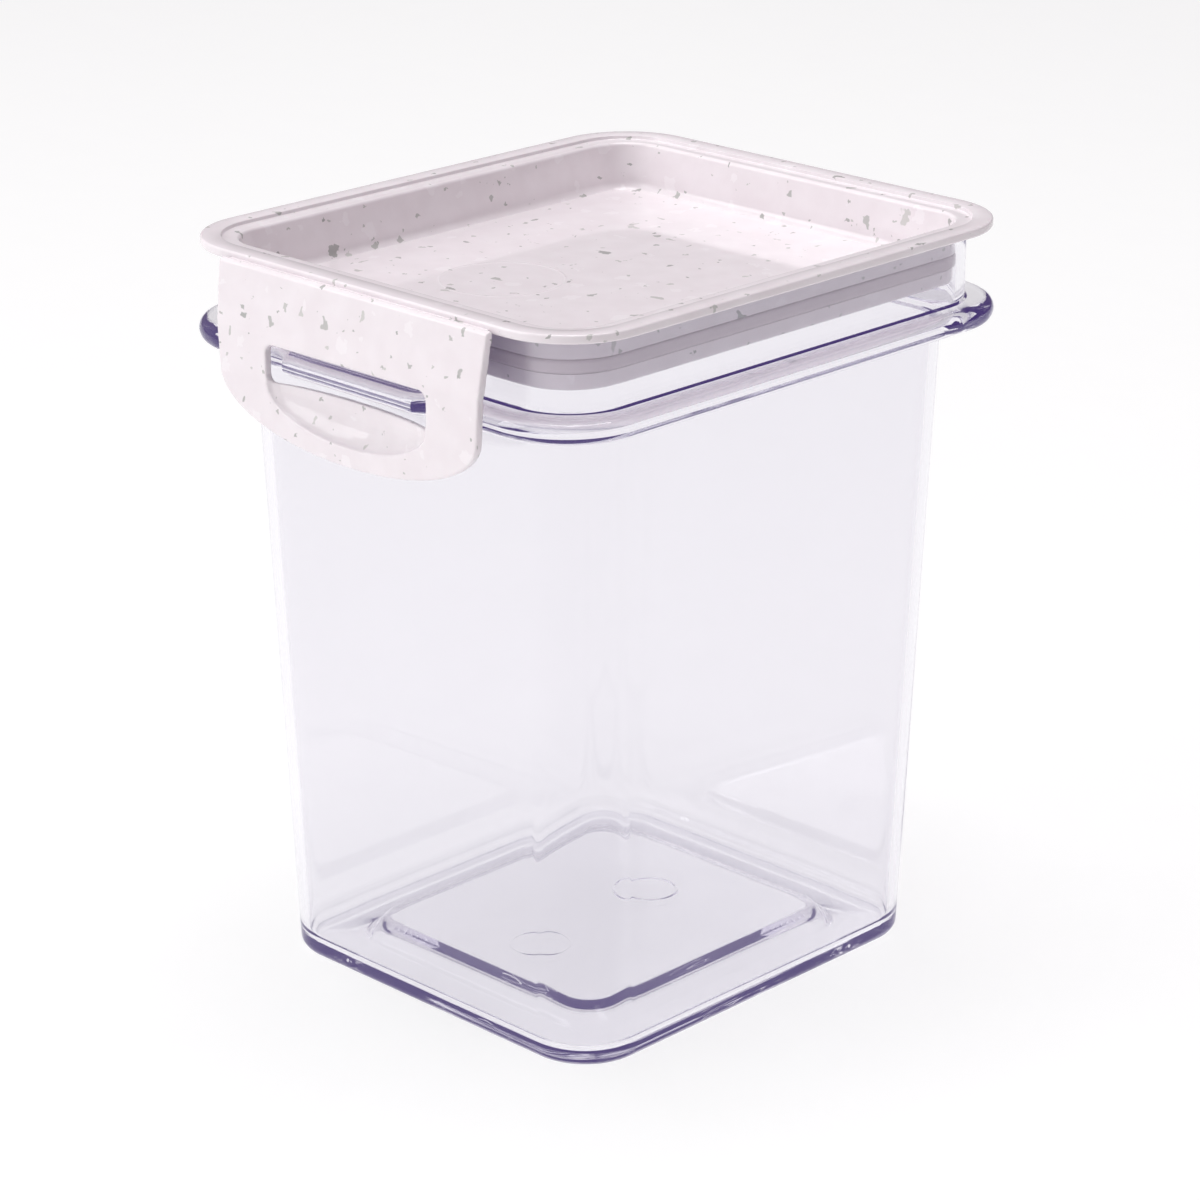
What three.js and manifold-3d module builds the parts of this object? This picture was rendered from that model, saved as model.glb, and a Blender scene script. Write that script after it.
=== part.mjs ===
// Food canister: a clear tapered container, a press-in lid with a recessed top, its sealing ring and a snap clip.
// Millimetres, +Z up, the clip on the -Y face, the foot of the container on z = 0.
import * as THREE from "three";
import { mergeVertices } from "three/addons/utils/BufferGeometryUtils.js";
import Module from "manifold-3d";

const wasm = await Module();
wasm.setup();

// Overall height and levels
const FLANGE_BOTTOM = 138.2;
const FLANGE_TOP = 143.0;
const NECK_TOP = 157.7;
const LID_TOP = 160.0;
const RECESS_FLOOR = 149.2;
const PLUG_BOTTOM = 146.9;

// Container, half sizes in x and y of its rounded rectangles
const WALL = 1.9;
const BASE_HALF = [47.8, 52.8];
const SHOULDER_HALF = [50.4, 58.4];
const NECK_HALF = [53.4, 62.6];
const FLANGE_HALF = [58.9, 68.5];
const PLATFORM_HALF = [33.0, 36.8];
const BODY_RADIUS = 14.0;
const FLANGE_RADIUS = 19.0;
const FLOOR_THICKNESS = 2.6;
const PUSH_UP = 3.4;
const FOOT_EDGE = 2.4;

// Lid
const LID_HALF = [58.1, 67.3];
const LID_RADIUS = 17.5;
const RIM_EDGE = 1.5;
const OUTER_LAND = 4.4;
const LAND_STEP = 0.8;
const RECESS_INSET = 8.1;
const PLUG_GAP = 0.3;
const RECESS_DRAFT = 1.5;
const RECESS_FILLET = 2.4;

// Sealing ring in its groove on the plug
const SEAL_BOTTOM = 150.3;
const SEAL_TOP = 153.1;
const SEAL_DEPTH = 1.2;
const SEAL_CLEAR = 0.3;

// Clip, its slot and the finger scoop, and the lug it catches on
const CLIP_HALF_TOP = 38.6;
const CLIP_HALF_LOW = 37.2;
const CLIP_LOW_LEVEL = 137.0;
const CLIP_BOTTOM = 124.2;
const CLIP_CORNER_LEVEL = 130.5;
const CLIP_CORNER_REACH = 13.2;
const CLIP_TOP = 159.2;
const CLIP_THICKNESS = 1.8;
const CLIP_FACE_Y = -71.3;
const HINGE_Y = -68.0;
const SLOT_HALF = 23.2;
const SLOT_TOP = 144.5;
const SLOT_BOTTOM = 136.4;
const SCOOP_DEPTH = 3.8;
const SCOOP_DROP = 8.2;
const SCOOP_WALL = 1.3;
const LUG_HALF = 21.2;
const LUG_FACE_Y = -71.0;
const LUG_BOTTOM = 138.6;
const LUG_TOP = 143.0;

// The clip stands out on one side only, so the part is moved to centre its bounding box on the origin.
const CENTRE_SHIFT = 1.4;

const CORNER_STEPS = 9;
const QUARTER = Math.PI / 2;

const clearPlastic = new THREE.MeshStandardMaterial({ color: 0xe6e4f2, roughness: 0.08, metalness: 0 });
const stonePlastic = new THREE.MeshStandardMaterial({ color: 0xe9e5ea, roughness: 0.25, metalness: 0 });
const sealRubber = new THREE.MeshStandardMaterial({ color: 0xb3a9b1, roughness: 0.6, metalness: 0 });

// One rounded rectangle, counter-clockwise seen from above.
function loop([a, b], radius, z) {
  const points = [];
  const corners = [[1, 1], [-1, 1], [-1, -1], [1, -1]];
  corners.forEach(([sx, sy], corner) => {
    for (let step = 0; step <= CORNER_STEPS; step++) {
      const angle = QUARTER * (corner + step / CORNER_STEPS);
      const x = sx * (a - radius) + radius * Math.cos(angle);
      const y = sy * (b - radius) + radius * Math.sin(angle);
      points.push([x, y, z]);
    }
  });
  return points;
}

const grow = ([a, b], by) => [a + by, b + by];

// A body through a row of sections: capped at both ends, or closed on itself as a ring.
function loft(sections, closed = false) {
  const loops = sections.map(([half, radius, z]) => loop(half, radius, z));
  const count = loops[0].length;
  const vertices = loops.flat(2);
  const faces = [];
  const rows = closed ? loops.length : loops.length - 1;
  for (let row = 0; row < rows; row++) {
    const low = row * count;
    const high = ((row + 1) % loops.length) * count;
    for (let i = 0; i < count; i++) {
      const next = (i + 1) % count;
      faces.push(low + i, low + next, high + next);
      faces.push(low + i, high + next, high + i);
    }
  }
  if (!closed) {
    const last = (loops.length - 1) * count;
    for (let i = 1; i < count - 1; i++) {
      faces.push(0, i + 1, i);
      faces.push(last, last + i, last + i + 1);
    }
  }
  const geometry = new THREE.BufferGeometry();
  geometry.setAttribute("position", new THREE.Float32BufferAttribute(vertices, 3));
  geometry.setIndex(faces);
  return geometry;
}

function solidOf(geometry) {
  const bare = geometry.index ? geometry.toNonIndexed() : geometry.clone();
  bare.deleteAttribute("normal");
  bare.deleteAttribute("uv");
  const merged = mergeVertices(bare, 1e-4);
  return new wasm.Manifold(
    new wasm.Mesh({
      numProp: 3,
      vertProperties: merged.attributes.position.array,
      triVerts: new Uint32Array(merged.index.array),
    }),
  );
}

function geometryOf(solid) {
  const mesh = solid.getMesh();
  const geometry = new THREE.BufferGeometry();
  geometry.setAttribute("position", new THREE.BufferAttribute(mesh.vertProperties, 3));
  geometry.setIndex(new THREE.BufferAttribute(mesh.triVerts, 1));
  return geometry;
}

const group = new THREE.Group();
group.name = "food_canister";

function add(name, geometry, material) {
  const flat = geometry.toNonIndexed();
  flat.translate(0, CENTRE_SHIFT, 0);
  flat.computeVertexNormals();
  const mesh = new THREE.Mesh(flat, material);
  mesh.name = name;
  group.add(mesh);
}

// A prism of a shape drawn in x and z, from yFar (outside) to yNear.
function prismXZ(shape, yFar, yNear) {
  const geometry = new THREE.ExtrudeGeometry(shape, {
    depth: yNear - yFar,
    bevelEnabled: false,
    curveSegments: 14,
  });
  geometry.rotateX(QUARTER);
  geometry.translate(0, yNear, 0);
  return geometry;
}

function roundedSlot(half, bottom, top, radius) {
  const shape = new THREE.Shape();
  shape.moveTo(-half + radius, bottom);
  shape.lineTo(half - radius, bottom);
  shape.absarc(half - radius, bottom + radius, radius, -QUARTER, 0, false);
  shape.absarc(half - radius, top - radius, radius, 0, QUARTER, false);
  shape.absarc(-half + radius, top - radius, radius, QUARTER, 2 * QUARTER, false);
  shape.absarc(-half + radius, bottom + radius, radius, 2 * QUARTER, 3 * QUARTER, false);
  return shape;
}

// Container: under the push-up, out over the foot, up the tapered wall, round the flange, up the neck and back inside.
const neckInner = grow(NECK_HALF, -WALL);
const shoulderInner = grow(SHOULDER_HALF, -WALL);
const baseInner = grow(BASE_HALF, -WALL);
const flangeRound = (FLANGE_TOP - FLANGE_BOTTOM) / 2;
const containerSections = [
  [grow(PLATFORM_HALF, -0.6), 7, PUSH_UP],
  [grow(PLATFORM_HALF, 1.0), 8, PUSH_UP - 0.5],
  [grow(PLATFORM_HALF, 3.2), 9, 0],
  [grow(BASE_HALF, -FOOT_EDGE), BODY_RADIUS - FOOT_EDGE, 0],
  [grow(BASE_HALF, -0.7), BODY_RADIUS - 0.7, 0.7],
  [BASE_HALF, BODY_RADIUS, FOOT_EDGE],
  [SHOULDER_HALF, BODY_RADIUS, FLANGE_BOTTOM],
];
for (let step = 0; step <= 6; step++) {
  const angle = -QUARTER + (2 * QUARTER * step) / 6;
  const inset = flangeRound * (1 - Math.cos(angle));
  const z = (FLANGE_TOP + FLANGE_BOTTOM) / 2 + flangeRound * Math.sin(angle);
  containerSections.push([grow(FLANGE_HALF, -inset), FLANGE_RADIUS - inset, z]);
}
containerSections.push(
  [NECK_HALF, BODY_RADIUS + 0.5, FLANGE_TOP],
  [NECK_HALF, BODY_RADIUS + 0.5, NECK_TOP - 0.5],
  [grow(NECK_HALF, -0.5), BODY_RADIUS, NECK_TOP],
  [grow(neckInner, 0.5), BODY_RADIUS - 0.9, NECK_TOP],
  [neckInner, BODY_RADIUS - 1.4, NECK_TOP - 0.5],
  [neckInner, BODY_RADIUS - 1.4, FLANGE_TOP - 1.2],
  [shoulderInner, BODY_RADIUS - WALL, FLANGE_BOTTOM + 0.4],
  [baseInner, BODY_RADIUS - WALL, FLOOR_THICKNESS + 3.0],
  [grow(baseInner, -0.8), BODY_RADIUS - WALL - 0.8, FLOOR_THICKNESS + 0.9],
  [grow(baseInner, -2.8), BODY_RADIUS - WALL - 2.8, FLOOR_THICKNESS],
  [grow(PLATFORM_HALF, 2.2), 8.5, FLOOR_THICKNESS],
  [grow(PLATFORM_HALF, -0.4), 7, FLOOR_THICKNESS + PUSH_UP - 0.5],
  [grow(PLATFORM_HALF, -2.0), 6, FLOOR_THICKNESS + PUSH_UP],
);
const lugShape = roundedSlot(LUG_HALF, LUG_BOTTOM, LUG_TOP, 1.6);
const lug = solidOf(prismXZ(lugShape, LUG_FACE_Y, -FLANGE_HALF[1] + 3));
const container = solidOf(loft(containerSections)).add(lug);
add("container", geometryOf(container), clearPlastic);

// Lid: up inside the plug from its underside, round the rim and down into the recess.
const plugHalf = grow(neckInner, -PLUG_GAP);
const plugRadius = BODY_RADIUS - 1.4 - PLUG_GAP;
const recessHalf = grow(LID_HALF, -RECESS_INSET);
const recessRadius = LID_RADIUS - RECESS_INSET;
const landHalf = grow(LID_HALF, -OUTER_LAND);
const grooveHalf = grow(plugHalf, -SEAL_DEPTH);
const grooveRadius = plugRadius - SEAL_DEPTH;
const lipHalf = grow(plugHalf, -0.5);
const recessLow = grow(recessHalf, -RECESS_DRAFT);
const lidSections = [
  [grow(lipHalf, -0.8), plugRadius - 1.3, PLUG_BOTTOM],
  [lipHalf, plugRadius - 0.5, PLUG_BOTTOM + 0.8],
  [lipHalf, plugRadius - 0.5, SEAL_BOTTOM - SEAL_CLEAR],
  [grooveHalf, grooveRadius, SEAL_BOTTOM - SEAL_CLEAR],
  [grooveHalf, grooveRadius, SEAL_TOP + SEAL_CLEAR],
  [plugHalf, plugRadius, SEAL_TOP + SEAL_CLEAR],
  [plugHalf, plugRadius, NECK_TOP + 0.3],
  [grow(LID_HALF, -0.7), LID_RADIUS - 0.7, LID_TOP - RIM_EDGE - 0.4],
  [LID_HALF, LID_RADIUS, LID_TOP - RIM_EDGE + 0.2],
  [LID_HALF, LID_RADIUS, LID_TOP - 0.5],
  [grow(LID_HALF, -0.5), LID_RADIUS - 0.5, LID_TOP],
  [grow(landHalf, 0.2), LID_RADIUS - OUTER_LAND + 0.2, LID_TOP],
  [landHalf, LID_RADIUS - OUTER_LAND, LID_TOP - LAND_STEP],
  [grow(recessHalf, 0.5), recessRadius + 0.5, LID_TOP - LAND_STEP],
  [recessHalf, recessRadius, LID_TOP - LAND_STEP - 0.5],
  [recessLow, recessRadius - RECESS_DRAFT, RECESS_FLOOR + RECESS_FILLET],
  [grow(recessLow, -0.7), recessRadius - RECESS_DRAFT - 0.7, RECESS_FLOOR + 0.7],
  [grow(recessLow, -RECESS_FILLET), recessRadius - RECESS_DRAFT - RECESS_FILLET, RECESS_FLOOR],
];
add("lid", loft(lidSections), stonePlastic);

// Sealing ring, a rounded band round the plug.
const sealOuter = grow(neckInner, -0.05 - PLUG_GAP / 2);
const sealInner = grow(grooveHalf, SEAL_CLEAR);
const sealOuterRadius = BODY_RADIUS - 1.4 - 0.05 - PLUG_GAP / 2;
const sealInnerRadius = grooveRadius + SEAL_CLEAR;
const sealSections = [
  [sealInner, sealInnerRadius, SEAL_BOTTOM],
  [grow(sealOuter, -0.4), sealOuterRadius - 0.4, SEAL_BOTTOM],
  [sealOuter, sealOuterRadius, SEAL_BOTTOM + 0.6],
  [sealOuter, sealOuterRadius, SEAL_TOP - 0.6],
  [grow(sealOuter, -0.4), sealOuterRadius - 0.4, SEAL_TOP],
  [sealInner, sealInnerRadius, SEAL_TOP],
];
add("lid_seal", loft(sealSections, true), sealRubber);

// Clip: a bowed band cut to the tab's outline, with the slot through it and the finger scoop dished inward below it.
const band = new THREE.Shape();
band.moveTo(HINGE_Y - 0.5, CLIP_TOP);
band.lineTo(HINGE_Y - 1.5, CLIP_TOP - 0.5);
band.quadraticCurveTo(CLIP_FACE_Y + 0.9, 153, CLIP_FACE_Y, 146);
band.lineTo(CLIP_FACE_Y, CLIP_BOTTOM - 1);
band.lineTo(CLIP_FACE_Y + CLIP_THICKNESS, CLIP_BOTTOM - 1);
band.lineTo(CLIP_FACE_Y + CLIP_THICKNESS, 146);
band.quadraticCurveTo(CLIP_FACE_Y + 0.9 + CLIP_THICKNESS, 152, HINGE_Y + 0.1, CLIP_TOP - 1.3);
band.lineTo(HINGE_Y, CLIP_TOP - 0.2);
const bandGeometry = new THREE.ExtrudeGeometry(band, {
  depth: 2 * CLIP_HALF_TOP + 4,
  bevelEnabled: false,
  curveSegments: 8,
});
const standUp = new THREE.Matrix4().makeBasis(
  new THREE.Vector3(0, 1, 0),
  new THREE.Vector3(0, 0, 1),
  new THREE.Vector3(1, 0, 0),
);
bandGeometry.applyMatrix4(standUp);
bandGeometry.translate(-CLIP_HALF_TOP - 2, 0, 0);

const tab = new THREE.Shape();
tab.moveTo(-CLIP_HALF_TOP, CLIP_TOP + 1);
tab.lineTo(-CLIP_HALF_LOW, CLIP_LOW_LEVEL);
tab.bezierCurveTo(
  -CLIP_HALF_LOW + 0.3,
  CLIP_CORNER_LEVEL,
  -CLIP_HALF_LOW + CLIP_CORNER_REACH,
  CLIP_BOTTOM,
  0,
  CLIP_BOTTOM,
);
tab.bezierCurveTo(
  CLIP_HALF_LOW - CLIP_CORNER_REACH,
  CLIP_BOTTOM,
  CLIP_HALF_LOW - 0.3,
  CLIP_CORNER_LEVEL,
  CLIP_HALF_LOW,
  CLIP_LOW_LEVEL,
);
tab.lineTo(CLIP_HALF_TOP, CLIP_TOP + 1);

// The ellipsoid the scoop is dished with, in front of the tab's face at the slot's lower edge.
function bowl(extra) {
  const geometry = new THREE.SphereGeometry(1, 28, 14);
  geometry.rotateX(QUARTER);
  geometry.scale(SLOT_HALF + extra, SCOOP_DEPTH + extra, SCOOP_DROP + extra);
  geometry.translate(0, CLIP_FACE_Y, SLOT_BOTTOM);
  return solidOf(geometry);
}
const slot = solidOf(prismXZ(roundedSlot(SLOT_HALF, SLOT_BOTTOM, SLOT_TOP, 2.0), CLIP_FACE_Y - 8, -60));
const below = new THREE.Shape();
below.moveTo(-30, SLOT_BOTTOM);
below.lineTo(-30, 120);
below.lineTo(30, 120);
below.lineTo(30, SLOT_BOTTOM);
const belowSlot = solidOf(prismXZ(below, CLIP_FACE_Y + 0.5, -60));
const clip = solidOf(bandGeometry)
  .intersect(solidOf(prismXZ(tab, CLIP_FACE_Y - 4, -60)))
  .add(bowl(SCOOP_WALL).intersect(belowSlot))
  .subtract(bowl(0))
  .subtract(slot);
add("clip", geometryOf(clip), stonePlastic);

export default group;
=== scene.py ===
import math

import bmesh
import bpy
from mathutils import Matrix, Vector


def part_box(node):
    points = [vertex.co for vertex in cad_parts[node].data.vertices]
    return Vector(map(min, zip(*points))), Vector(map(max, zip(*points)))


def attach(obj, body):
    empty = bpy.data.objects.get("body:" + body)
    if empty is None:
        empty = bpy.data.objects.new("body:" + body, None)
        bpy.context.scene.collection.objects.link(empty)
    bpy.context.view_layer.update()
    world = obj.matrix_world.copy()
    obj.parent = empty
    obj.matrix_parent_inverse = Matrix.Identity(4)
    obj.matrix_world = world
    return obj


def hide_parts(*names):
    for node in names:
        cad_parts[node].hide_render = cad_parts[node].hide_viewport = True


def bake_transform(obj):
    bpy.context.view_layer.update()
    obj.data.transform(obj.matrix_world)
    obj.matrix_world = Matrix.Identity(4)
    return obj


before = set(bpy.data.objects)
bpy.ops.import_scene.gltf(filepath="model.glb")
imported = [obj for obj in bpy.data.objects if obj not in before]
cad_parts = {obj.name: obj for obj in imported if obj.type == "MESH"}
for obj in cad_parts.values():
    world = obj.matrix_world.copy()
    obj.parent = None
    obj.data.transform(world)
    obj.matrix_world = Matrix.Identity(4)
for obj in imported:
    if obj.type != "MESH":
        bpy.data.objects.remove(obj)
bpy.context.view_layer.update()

MM = 0.001
QUARTER = math.pi / 2

# Places and sizes of the CAD nodes
C_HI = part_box("container")[1]
L_LO, L_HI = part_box("lid")
S_LO, S_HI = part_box("lid_seal")
K_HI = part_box("clip")[1]
MID_Y = (L_LO.y + L_HI.y) / 2
LID_TOP = L_HI.z
NECK_TOP = C_HI.z
PLUG_BOTTOM = L_LO.z

FLANGE = (C_HI.x, C_HI.y - MID_Y)
LID = (L_HI.x, L_HI.y - MID_Y)
SEAL = (S_HI.x, S_HI.y - MID_Y)

# Details of the mouldings, in metres
WALL = 1.9 * MM
FLANGE_LOW, FLANGE_HIGH = 138.2 * MM, 143.0 * MM
BASE = (FLANGE[0] - 11.1 * MM, FLANGE[1] - 15.7 * MM)
SHOULDER = (FLANGE[0] - 8.5 * MM, FLANGE[1] - 10.1 * MM)
NECK = (FLANGE[0] - 5.5 * MM, FLANGE[1] - 5.9 * MM)
PLATFORM = (33.0 * MM, 36.8 * MM)
BODY_R, FLANGE_R, LID_R = 14.0 * MM, 19.0 * MM, 17.5 * MM
FLOOR, PUSH_UP = 2.6 * MM, 3.4 * MM
LUG_HALF, LUG_OUT, LUG_END = 21.2 * MM, 2.4 * MM, 1.6 * MM
RECESS_FLOOR = LID_TOP - 10.8 * MM
LAND, STEP = 4.4 * MM, 0.8 * MM
RECESS_INSET, DRAFT, FILLET = 8.1 * MM, 1.5 * MM, 2.4 * MM

CORNER = 20
SIDE = 30


def grow(half, by):
    return (half[0] + by, half[1] + by)


def loop(half, radius, z, bump=0.0):
    """One rounded rectangle with extra points on its sides.

    bump pushes the clip side out over the lug's width.
    """
    a, b = half
    points = []
    for corner, (sx, sy) in enumerate([(1, 1), (-1, 1), (-1, -1), (1, -1)]):
        for step in range(CORNER + 1):
            t = QUARTER * (corner + step / CORNER)
            centre = (sx * (a - radius), sy * (b - radius))
            points.append((centre[0] + radius * math.cos(t), centre[1] + radius * math.sin(t)))
        nx, ny = [(-1, 1), (-1, -1), (1, -1), (1, 1)][corner]
        nt = QUARTER * (corner + 1)
        end = (nx * (a - radius) + radius * math.cos(nt), ny * (b - radius) + radius * math.sin(nt))
        last = points[-1]
        for k in range(1, SIDE):
            f = k / SIDE
            points.append((last[0] + (end[0] - last[0]) * f, last[1] + (end[1] - last[1]) * f))
    out = []
    for x, y in points:
        if bump and y < 0:
            f = min(max((LUG_HALF - abs(x)) / LUG_END, 0.0), 1.0)
            y -= bump * math.sqrt(f * (2 - f))
        out.append((x, y + MID_Y, z))
    return out


def object_of(name, bm, material, body, smooth=35):
    mesh = bpy.data.meshes.new(name)
    bmesh.ops.recalc_face_normals(bm, faces=bm.faces[:])
    bm.to_mesh(mesh)
    bm.free()
    mesh.polygons.foreach_set("use_smooth", [True] * len(mesh.polygons))
    mesh.set_sharp_from_angle(angle=math.radians(smooth))
    mesh.materials.append(material)
    made = bpy.data.objects.new(name, mesh)
    bpy.context.scene.collection.objects.link(made)
    if body:
        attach(made, body)
    return made


def loft(name, sections, material, body, closed=False, smooth=35):
    bm = bmesh.new()
    rings = [[bm.verts.new(p) for p in loop(*s)] for s in sections]
    count = len(rings[0])
    pairs = list(zip(rings, rings[1:]))
    if closed:
        pairs.append((rings[-1], rings[0]))
    for low, high in pairs:
        for i in range(count):
            j = (i + 1) % count
            bm.faces.new((low[i], low[j], high[j], high[i]))
    if not closed:
        for ring in (rings[0], rings[-1]):
            middle = bm.verts.new(sum((v.co for v in ring), Vector()) / count)
            for i in range(count):
                bm.faces.new((ring[i], ring[(i + 1) % count], middle))
    return object_of(name, bm, material, body, smooth)


def arc(half, radius, z, r, start, end, steps):
    """Sections round a quarter or half circle of radius r; half and z are those of its centre."""
    made = []
    for k in range(steps + 1):
        t = math.radians(start + (end - start) * k / steps)
        d = r * math.cos(t)
        made.append((grow(half, d), radius + d, z + r * math.sin(t)))
    return made


# Node materials
class Nodes:
    """A material's node tree with short calls for its nodes."""

    def __init__(self, name):
        self.material = bpy.data.materials.new(name)
        self.material.use_nodes = True
        self.tree = self.material.node_tree
        self.shader = self.tree.nodes["Principled BSDF"]
        self.place = self.tree.nodes.new("ShaderNodeTexCoord").outputs["Object"]

    def link(self, a, b):
        self.tree.links.new(a, b)

    def math(self, kind, a, b=0.0, clamp=False):
        node = self.tree.nodes.new("ShaderNodeMath")
        node.operation = kind
        node.use_clamp = clamp
        for socket, value in zip(node.inputs, (a, b)):
            if isinstance(value, (int, float)):
                socket.default_value = value
            else:
                self.link(value, socket)
        return node.outputs[0]

    def moved(self, offset=(0, 0, 0), scale=(1, 1, 1), turn=(0, 0, 0)):
        node = self.tree.nodes.new("ShaderNodeMapping")
        node.inputs["Location"].default_value = offset
        node.inputs["Rotation"].default_value = turn
        node.inputs["Scale"].default_value = scale
        self.link(self.place, node.inputs["Vector"])
        return node.outputs[0]

    def noise(self, scale, detail=2.0, vector=None):
        node = self.tree.nodes.new("ShaderNodeTexNoise")
        node.inputs["Scale"].default_value = scale
        node.inputs["Detail"].default_value = detail
        self.link(vector or self.place, node.inputs["Vector"])
        return node.outputs["Fac"]

    def remap(self, value, low, high, to_low, to_high):
        node = self.tree.nodes.new("ShaderNodeMapRange")
        for socket, number in zip(list(node.inputs)[1:5], (low, high, to_low, to_high)):
            socket.default_value = number
        self.link(value, node.inputs["Value"])
        return node.outputs[0]

    def mix(self, factor, a, b):
        node = self.tree.nodes.new("ShaderNodeMix")
        node.data_type = "RGBA"
        self.link(factor, node.inputs[0])
        for socket, value in ((node.inputs[6], a), (node.inputs[7], b)):
            if isinstance(value, tuple):
                socket.default_value = (*value, 1)
            else:
                self.link(value, socket)
        return node.outputs[2]

    def bump(self, height, distance, strength=1.0):
        node = self.tree.nodes.new("ShaderNodeBump")
        node.inputs["Distance"].default_value = distance
        node.inputs["Strength"].default_value = strength
        self.link(height, node.inputs["Height"])
        self.link(node.outputs[0], self.shader.inputs["Normal"])

    def flakes(self, size, share, radius, offset, stretch=(1, 1, 1)):
        """A mask of angular flakes: some cells of a Voronoi texture hold one, each of its own size."""
        wobble = self.tree.nodes.new("ShaderNodeTexNoise")
        wobble.inputs["Scale"].default_value = 2.6 / size
        self.link(self.place, wobble.inputs["Vector"])
        add = self.tree.nodes.new("ShaderNodeVectorMath")
        add.operation = "MULTIPLY_ADD"
        add.inputs[1].default_value = (size * 0.6,) * 3
        self.link(wobble.outputs["Color"], add.inputs[0])
        self.link(self.moved(offset, stretch, (0.4, 0.7, 0.3)), add.inputs[2])
        cells = self.tree.nodes.new("ShaderNodeTexVoronoi")
        cells.distance = "MANHATTAN"
        cells.inputs["Scale"].default_value = 1 / size
        self.link(add.outputs[0], cells.inputs["Vector"])
        split = self.tree.nodes.new("ShaderNodeSeparateColor")
        self.link(cells.outputs["Color"], split.inputs[0])
        chosen = self.math("GREATER_THAN", split.outputs[0], 1 - share)
        reach = self.math("MULTIPLY", self.math("ADD", split.outputs[1], 0.25), radius)
        inside = self.math("SUBTRACT", reach, cells.outputs["Distance"])
        mask = self.remap(inside, 0.0, radius * 0.12, 0.0, 1.0)
        return self.math("MULTIPLY", mask, chosen), split.outputs[2]

    def ring(self, x, y, radius, width, low, high):
        """A mask of a moulded circle round x, y between two levels."""
        split = self.tree.nodes.new("ShaderNodeSeparateXYZ")
        self.link(self.place, split.inputs[0])
        dx = self.math("SUBTRACT", split.outputs[0], x)
        dy = self.math("SUBTRACT", split.outputs[1], y)
        squares = self.math("ADD", self.math("MULTIPLY", dx, dx), self.math("MULTIPLY", dy, dy))
        far = self.math("SQRT", squares)
        off = self.math("ABSOLUTE", self.math("SUBTRACT", far, radius))
        band = self.remap(off, 0.0, width, 1.0, 0.0)
        level = self.math(
            "MULTIPLY",
            self.math("GREATER_THAN", split.outputs[2], low),
            self.math("LESS_THAN", split.outputs[2], high),
        )
        return self.math("MULTIPLY", band, level)


def clear_material():
    n = Nodes("clear_plastic")
    s = n.shader.inputs
    s["Transmission Weight"].default_value = 1.0
    s["IOR"].default_value = 1.5
    # Painted light: a weak violet glow over the whole clear shell stands in for the violet tint that thick
    # clear edges show.
    s["Emission Color"].default_value = (0.33, 0.17, 1.0, 1)
    s["Emission Strength"].default_value = 0.011
    haze = n.noise(38, 3)
    n.link(n.mix(haze, (0.905, 0.900, 0.908), (0.917, 0.912, 0.920)), s["Base Color"])
    n.link(n.remap(n.noise(210, 4), 0.45, 0.75, 0.012, 0.06), s["Roughness"])
    flow = n.noise(30, 1, n.moved(scale=(1, 1, 0.25)))
    near_floor = (5.0 * MM, 7.0 * MM)
    disc = n.ring(0.6 * MM, 14.4 * MM + MID_Y, 5.7 * MM, 0.5 * MM, *near_floor)
    faint = n.ring(3.6 * MM, -21.8 * MM + MID_Y, 5.7 * MM, 0.4 * MM, *near_floor)
    marks = n.math("ADD", disc, n.math("MULTIPLY", faint, 0.4))
    n.bump(n.math("ADD", n.math("MULTIPLY", flow, 0.5), marks), 0.16 * MM)
    # Shadow rays pass straight through, in place of caustics, so what is behind the walls is lit.
    nodes = n.tree.nodes
    rays = nodes.new("ShaderNodeLightPath")
    passing = nodes.new("ShaderNodeBsdfTransparent")
    passing.inputs["Color"].default_value = (0.95, 0.945, 0.96, 1)
    choose = nodes.new("ShaderNodeMixShader")
    n.link(rays.outputs["Is Shadow Ray"], choose.inputs[0])
    n.link(n.shader.outputs[0], choose.inputs[1])
    n.link(passing.outputs[0], choose.inputs[2])
    n.link(choose.outputs[0], nodes["Material Output"].inputs["Surface"])
    return n.material


def stone_material():
    n = Nodes("stone_plastic")
    s = n.shader.inputs
    base = n.mix(n.remap(n.noise(160, 3), 0.35, 0.7, 0, 1), (0.815, 0.755, 0.785), (0.85, 0.795, 0.825))
    pale, _ = n.flakes(5.5 * MM, 0.55, 0.42, (0.3, 0.1, 0.7))
    base = n.mix(n.math("MULTIPLY", pale, 0.5), base, (0.90, 0.86, 0.885))
    layers = [
        (9.0 * MM, 0.55, 0.24, (0.11, 0.52, 0.23), (1, 1.6, 1)),
        (6.0 * MM, 0.50, 0.24, (0.71, 0.32, 0.13), (1.7, 1, 1)),
        (3.8 * MM, 0.40, 0.25, (0.41, 0.92, 0.63), (1, 1, 1.7)),
        (2.4 * MM, 0.20, 0.26, (0.21, 0.12, 0.83), (1, 1, 1)),
    ]
    for size, share, radius, offset, stretch in layers:
        mask, tone = n.flakes(size, share, radius, offset, stretch)
        colour = n.mix(tone, (0.33, 0.335, 0.32), (0.58, 0.57, 0.55))
        base = n.mix(n.math("MULTIPLY", mask, 0.82), base, colour)
    n.link(base, s["Base Color"])
    n.link(n.remap(n.noise(420, 3), 0.4, 0.7, 0.055, 0.11), s["Roughness"])
    s["Subsurface Weight"].default_value = 0.08
    s["Subsurface Radius"].default_value = (0.004, 0.003, 0.0035)
    s["IOR"].default_value = 1.5
    on_floor = (RECESS_FLOOR - MM, RECESS_FLOOR + MM)
    witness = n.ring(-11.7 * MM, -16.7 * MM + MID_Y, 13.0 * MM, 0.35 * MM, *on_floor)
    wave = n.math("ADD", n.math("MULTIPLY", n.noise(90, 2), 0.5), n.math("MULTIPLY", witness, 0.7))
    n.bump(wave, 0.06 * MM)
    return n.material


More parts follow.
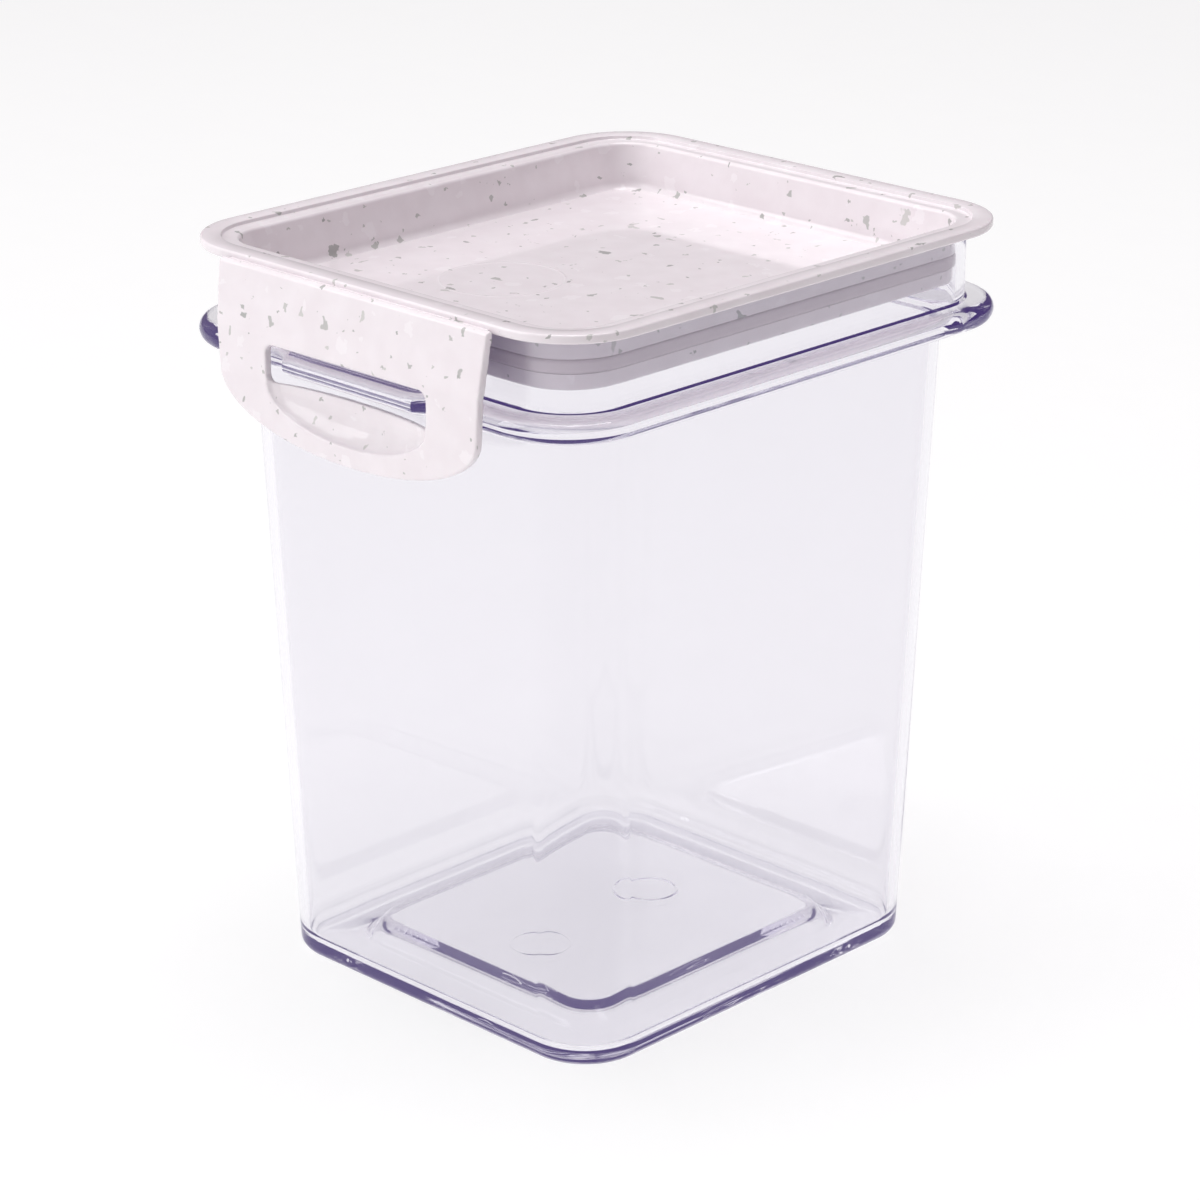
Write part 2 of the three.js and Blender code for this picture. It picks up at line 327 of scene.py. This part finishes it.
def silicone_material():
    n = Nodes("seal_silicone")
    s = n.shader.inputs
    n.link(n.mix(n.noise(300, 3), (0.70, 0.63, 0.66), (0.75, 0.68, 0.71)), s["Base Color"])
    n.link(n.remap(n.noise(700, 2), 0.3, 0.7, 0.45, 0.62), s["Roughness"])
    n.bump(n.noise(1500, 2), 0.03 * MM)
    return n.material


CLEAR = clear_material()
STONE = stone_material()
SILICONE = silicone_material()

# Container: from under the push-up over the foot, up the wall, round the flange,
# up the neck and back inside
neck_in = grow(NECK, -WALL)
shoulder_in = grow(SHOULDER, -WALL)
base_in = grow(BASE, -WALL)
bead = (FLANGE_HIGH - FLANGE_LOW) / 2
bead_mid = (FLANGE_HIGH + FLANGE_LOW) / 2
FOOT_R = 2.4 * MM
shell = [
    (grow(PLATFORM, -2.0 * MM), 6.5 * MM, PUSH_UP),
    (grow(PLATFORM, -0.4 * MM), 7.6 * MM, PUSH_UP - 0.1 * MM),
    (grow(PLATFORM, 0.7 * MM), 8.2 * MM, PUSH_UP - 0.5 * MM),
    (grow(PLATFORM, 2.7 * MM), 9.2 * MM, 0.45 * MM),
    (grow(PLATFORM, 3.6 * MM), 9.8 * MM, 0.0),
]
shell += arc(grow(BASE, -FOOT_R), BODY_R - FOOT_R, FOOT_R, FOOT_R, -90, 0, 8)
for k in range(1, 9):
    f = k / 8
    half = tuple(p + (q - p) * f for p, q in zip(BASE, SHOULDER))
    shell.append((half, BODY_R, FOOT_R + (FLANGE_LOW - 0.8 * MM - FOOT_R) * f))
shell.append((grow(SHOULDER, 0.9 * MM), BODY_R + 0.9 * MM, FLANGE_LOW))
for half, radius, z in arc(grow(FLANGE, -bead), FLANGE_R - bead, bead_mid, bead, -90, 90, 14):
    lift = math.cos(math.asin(max(-1.0, min(1.0, (z - bead_mid) / bead))))
    shell.append((half, radius, z, LUG_OUT * (0.55 + 0.45 * lift)))
shell += [
    (grow(NECK, 0.5 * MM), BODY_R + 1.0 * MM, FLANGE_HIGH),
    (NECK, BODY_R + 0.5 * MM, FLANGE_HIGH + 0.5 * MM),
]
for k in range(1, 5):
    shell.append((NECK, BODY_R + 0.5 * MM, FLANGE_HIGH + (NECK_TOP - FLANGE_HIGH - 0.8 * MM) * k / 4))
rim_r = WALL / 2
shell += arc(grow(NECK, -rim_r), BODY_R - rim_r + 0.5 * MM, NECK_TOP - rim_r, rim_r, 0, 180, 10)
neck_depth = NECK_TOP - rim_r - FLANGE_HIGH + 0.9 * MM
for k in range(1, 5):
    shell.append((neck_in, BODY_R - 1.4 * MM, NECK_TOP - rim_r - neck_depth * k / 4))
inside_top = FLANGE_LOW + 0.4 * MM
for k in range(0, 9):
    f = k / 8
    half = tuple(p + (q - p) * f for p, q in zip(shoulder_in, base_in))
    shell.append((half, BODY_R - WALL, inside_top + (FLOOR + 3.4 * MM - inside_top) * f))
shell += arc(grow(base_in, -3.2 * MM), BODY_R - WALL - 3.2 * MM, FLOOR + 3.2 * MM, 3.2 * MM, -5, -90, 8)
shell += [
    (grow(PLATFORM, 3.0 * MM), 9.4 * MM, FLOOR),
    (grow(PLATFORM, 2.0 * MM), 8.6 * MM, FLOOR + 0.4 * MM),
    (grow(PLATFORM, 0.0 * MM), 7.2 * MM, FLOOR + PUSH_UP - 0.6 * MM),
    (grow(PLATFORM, -1.0 * MM), 6.6 * MM, FLOOR + PUSH_UP - 0.1 * MM),
    (grow(PLATFORM, -2.2 * MM), 6.0 * MM, FLOOR + PUSH_UP),
]
container = loft("canister_shell", shell, CLEAR, "container")
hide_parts("container")

# Lid: from its underside up the plug with the seal's groove, round the rim and down into the recess
PLUG = grow(neck_in, -0.3 * MM)
PLUG_R = BODY_R - 1.7 * MM
GROOVE_D = 1.2 * MM
lip = grow(PLUG, -0.5 * MM)
recess = grow(LID, -RECESS_INSET)
RECESS_R = LID_R - RECESS_INSET
low_r = RECESS_R - DRAFT
edge_low = LID_TOP - 1.9 * MM
lid_rows = arc(grow(lip, -0.8 * MM), PLUG_R - 1.3 * MM, PLUG_BOTTOM + 0.8 * MM, 0.8 * MM, -90, 0, 5)
lid_rows += [
    (lip, PLUG_R - 0.5 * MM, S_LO.z - 0.12 * MM),
    (grow(PLUG, -GROOVE_D), PLUG_R - GROOVE_D, S_LO.z - 0.12 * MM),
    (grow(PLUG, -GROOVE_D), PLUG_R - GROOVE_D, S_HI.z + 0.12 * MM),
    (grow(PLUG, -0.15 * MM), PLUG_R - 0.15 * MM, S_HI.z + 0.12 * MM),
    (PLUG, PLUG_R, S_HI.z + 0.5 * MM),
    (PLUG, PLUG_R, NECK_TOP + 0.1 * MM),
    (grow(PLUG, 0.3 * MM), PLUG_R + 0.3 * MM, NECK_TOP + 0.35 * MM),
    (grow(LID, -1.6 * MM), LID_R - 1.6 * MM, edge_low),
]
lid_rows += arc(grow(LID, -0.6 * MM), LID_R - 0.6 * MM, edge_low + 0.6 * MM, 0.6 * MM, -80, 0, 4)
lid_rows += arc(grow(LID, -0.45 * MM), LID_R - 0.45 * MM, LID_TOP - 0.45 * MM, 0.45 * MM, 0, 90, 5)
lid_rows += [
    (grow(LID, -LAND + 0.4 * MM), LID_R - LAND + 0.4 * MM, LID_TOP),
    (grow(LID, -LAND + 0.15 * MM), LID_R - LAND + 0.15 * MM, LID_TOP - 0.1 * MM),
    (grow(LID, -LAND), LID_R - LAND, LID_TOP - STEP + 0.1 * MM),
    (grow(LID, -LAND - 0.15 * MM), LID_R - LAND - 0.15 * MM, LID_TOP - STEP),
]
lid_rows += arc(grow(recess, 0.8 * MM), RECESS_R + 0.8 * MM, LID_TOP - STEP - 0.8 * MM, 0.8 * MM, 90, 175, 6)
wall_top = LID_TOP - STEP - 0.9 * MM
for k in range(1, 5):
    f = k / 4
    depth = wall_top - RECESS_FLOOR - FILLET
    lid_rows.append((grow(recess, -DRAFT * f), RECESS_R - DRAFT * f, wall_top - depth * f))
low = grow(recess, -DRAFT - FILLET)
# The fillet stops short of level, so the floor begins at a crisp line
FILLET_END = 60
fillet_z = RECESS_FLOOR + FILLET * math.sin(math.radians(FILLET_END))
lid_rows += arc(low, low_r - FILLET, fillet_z, FILLET, -8, -FILLET_END, 8)
lid = loft("speckled_lid", lid_rows, STONE, "lid", smooth=22)
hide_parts("lid")

# Sealing ring, a softly rounded band
seal_in = grow(PLUG, -GROOVE_D + 0.3 * MM)
SEAL_IN_R = PLUG_R - GROOVE_D + 0.3 * MM
SEAL_R = SEAL_IN_R + SEAL[0] - seal_in[0]
height = S_HI.z - S_LO.z
ribs = [(seal_in, SEAL_IN_R, S_LO.z)]
for k in range(15):
    f = k / 14
    dip = 0.5 * MM * (2 * f - 1) ** 6
    ribs.append((grow(SEAL, -dip), SEAL_R - dip, S_LO.z + height * f))
ribs.append((seal_in, SEAL_IN_R, S_HI.z))
seal = loft("sealing_ring", ribs, SILICONE, "lid", closed=True)
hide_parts("lid_seal")

# Clip: the CAD tab with every edge softened as a moulding has it
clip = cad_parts["clip"].copy()
clip.data = clip.data.copy()
clip.name = "snap_clip"
bpy.context.scene.collection.objects.link(clip)
remesh = clip.modifiers.new("even", "REMESH")
remesh.mode = "VOXEL"
remesh.voxel_size = 0.28 * MM
soften = clip.modifiers.new("soften", "SMOOTH")
soften.factor = 0.5
soften.iterations = 5
thin = clip.modifiers.new("thin", "DECIMATE")
thin.ratio = 0.35
bpy.context.view_layer.update()
baked = bpy.data.meshes.new_from_object(clip.evaluated_get(bpy.context.evaluated_depsgraph_get()))
clip.modifiers.clear()
clip.data = baked
baked.materials.clear()
baked.materials.append(STONE)
baked.polygons.foreach_set("use_smooth", [True] * len(baked.polygons))
clip.parent = None
clip.matrix_world = Matrix.Identity(4)
clip.hide_render = False
clip.hide_viewport = False
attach(clip, "clip")
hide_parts("clip")

# Living hinge: the thin web between the rim and the clip
WEB_HALF = K_HI.x - 1.6 * MM
WEB_START, WEB_SPAN, WEB_THICK, WEB_SAG = 0.4 * MM, 1.9 * MM, 0.33 * MM, 0.18 * MM
bm = bmesh.new()
ROWS, COLUMNS = 8, 24
profile = []
for k in range(ROWS + 1):
    f = k / ROWS
    y = L_LO.y + WEB_START - WEB_SPAN * f
    sag = WEB_SAG * math.sin(math.pi * f)
    profile.append((y, LID_TOP - 0.95 * MM - sag))
for y, z in reversed(profile):
    profile.append((y, z - WEB_THICK))
grid = []
for c in range(COLUMNS + 1):
    x = -WEB_HALF + 2 * WEB_HALF * c / COLUMNS
    grid.append([bm.verts.new((x, y, z)) for y, z in profile])
for one, two in zip(grid, grid[1:]):
    for i in range(len(profile)):
        j = (i + 1) % len(profile)
        bm.faces.new((one[i], one[j], two[j], two[i]))
bm.faces.new(grid[0])
bm.faces.new(grid[-1])
web = object_of("hinge_web", bm, STONE, None, 60)
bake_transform(web)

# Floor and light
floor_nodes = Nodes("floor_paper")
f_in = floor_nodes.shader.inputs
floor_nodes.link(
    floor_nodes.mix(floor_nodes.noise(60, 4), (0.40, 0.40, 0.40), (0.42, 0.42, 0.42)), f_in["Base Color"]
)
f_in["Roughness"].default_value = 0.6
# The floor glows, so that it comes out white under soft light.
f_in["Emission Color"].default_value = (1, 1, 1, 1)
f_in["Emission Strength"].default_value = 0.60
bm = bmesh.new()
bmesh.ops.create_grid(bm, x_segments=1, y_segments=1, size=6.0)
floor = object_of("floor", bm, floor_nodes.material, None)
floor.location.z = -0.05 * MM

world = bpy.data.worlds.new("studio")
world.use_nodes = True
bpy.context.scene.world = world
tree = world.node_tree
coord = tree.nodes.new("ShaderNodeTexCoord")
toward = tree.nodes.new("ShaderNodeVectorMath")
toward.operation = "DOT_PRODUCT"
toward.inputs[1].default_value = Vector((-0.42, -0.72, 0.55)).normalized()
ramp = tree.nodes.new("ShaderNodeValToRGB")
tree.links.new(coord.outputs["Generated"], toward.inputs[0])
tree.links.new(toward.outputs["Value"], ramp.inputs[0])
# Rays that have come through clear plastic meet a lighter studio than the others do.
rays = tree.nodes.new("ShaderNodeLightPath")
through = tree.nodes.new("ShaderNodeMath")
through.operation = "MULTIPLY"
through.inputs[1].default_value = 0.75
tree.links.new(rays.outputs["Is Transmission Ray"], through.inputs[0])
lighter = tree.nodes.new("ShaderNodeMix")
lighter.data_type = "RGBA"
lighter.inputs[7].default_value = (1.0, 0.99, 1.0, 1)
tree.links.new(through.outputs[0], lighter.inputs[0])
tree.links.new(ramp.outputs[0], lighter.inputs[6])
tree.links.new(lighter.outputs[2], tree.nodes["Background"].inputs["Color"])
ramp.color_ramp.elements[0].position = 0.0
ramp.color_ramp.elements[0].color = (0.22, 0.19, 0.21, 1)
ramp.color_ramp.elements[1].position = 0.85
ramp.color_ramp.elements[1].color = (1.0, 1.0, 1.0, 1)
middle = ramp.color_ramp.elements.new(0.4)
middle.color = (0.59, 0.545, 0.58, 1)
tree.nodes["Background"].inputs["Strength"].default_value = 0.85


def area_light(name, place, size, power, target=(0, 0, 0.08)):
    data = bpy.data.lights.new(name, "AREA")
    data.shape = "RECTANGLE"
    data.size, data.size_y = size
    data.energy = power
    made = bpy.data.objects.new(name, data)
    made.location = place
    made.rotation_euler = (Vector(target) - Vector(place)).to_track_quat("-Z", "Y").to_euler()
    bpy.context.scene.collection.objects.link(made)


area_light("left_box", (-0.7, -1.1, 0.8), (0.9, 0.9), 6.0)
area_light("top_box", (0.0, 0.1, 1.4), (0.8, 0.8), 9.3)

# Camera
AZIMUTH, ELEVATION = math.radians(44.42), math.radians(20.38)
back = Vector((
    math.sin(AZIMUTH) * math.cos(ELEVATION),
    -math.cos(AZIMUTH) * math.cos(ELEVATION),
    math.sin(ELEVATION),
))
right = Vector((math.cos(AZIMUTH), math.sin(AZIMUTH), 0))
up = back.cross(right)
camera_data = bpy.data.cameras.new("camera")
camera_data.sensor_width = 36
camera_data.lens = 36 * 3806 / 1200
camera_data.clip_end = 50
camera = bpy.data.objects.new("camera", camera_data)
place = Vector((0, MID_Y, 85.33 * MM)) + back * 0.8069 - up * 7.3 * MM
turn = Matrix((right, up, back)).transposed()
camera.matrix_world = Matrix.Translation(place) @ turn.to_4x4()
bpy.context.scene.collection.objects.link(camera)
bpy.context.scene.camera = camera
bpy.context.scene.view_settings.view_transform = "Standard"

# Light that is caught inside the thick clear edges needs many bounces to come out again.
cycles = bpy.context.scene.cycles
cycles.max_bounces = 24
cycles.transmission_bounces = 24
cycles.glossy_bounces = 12
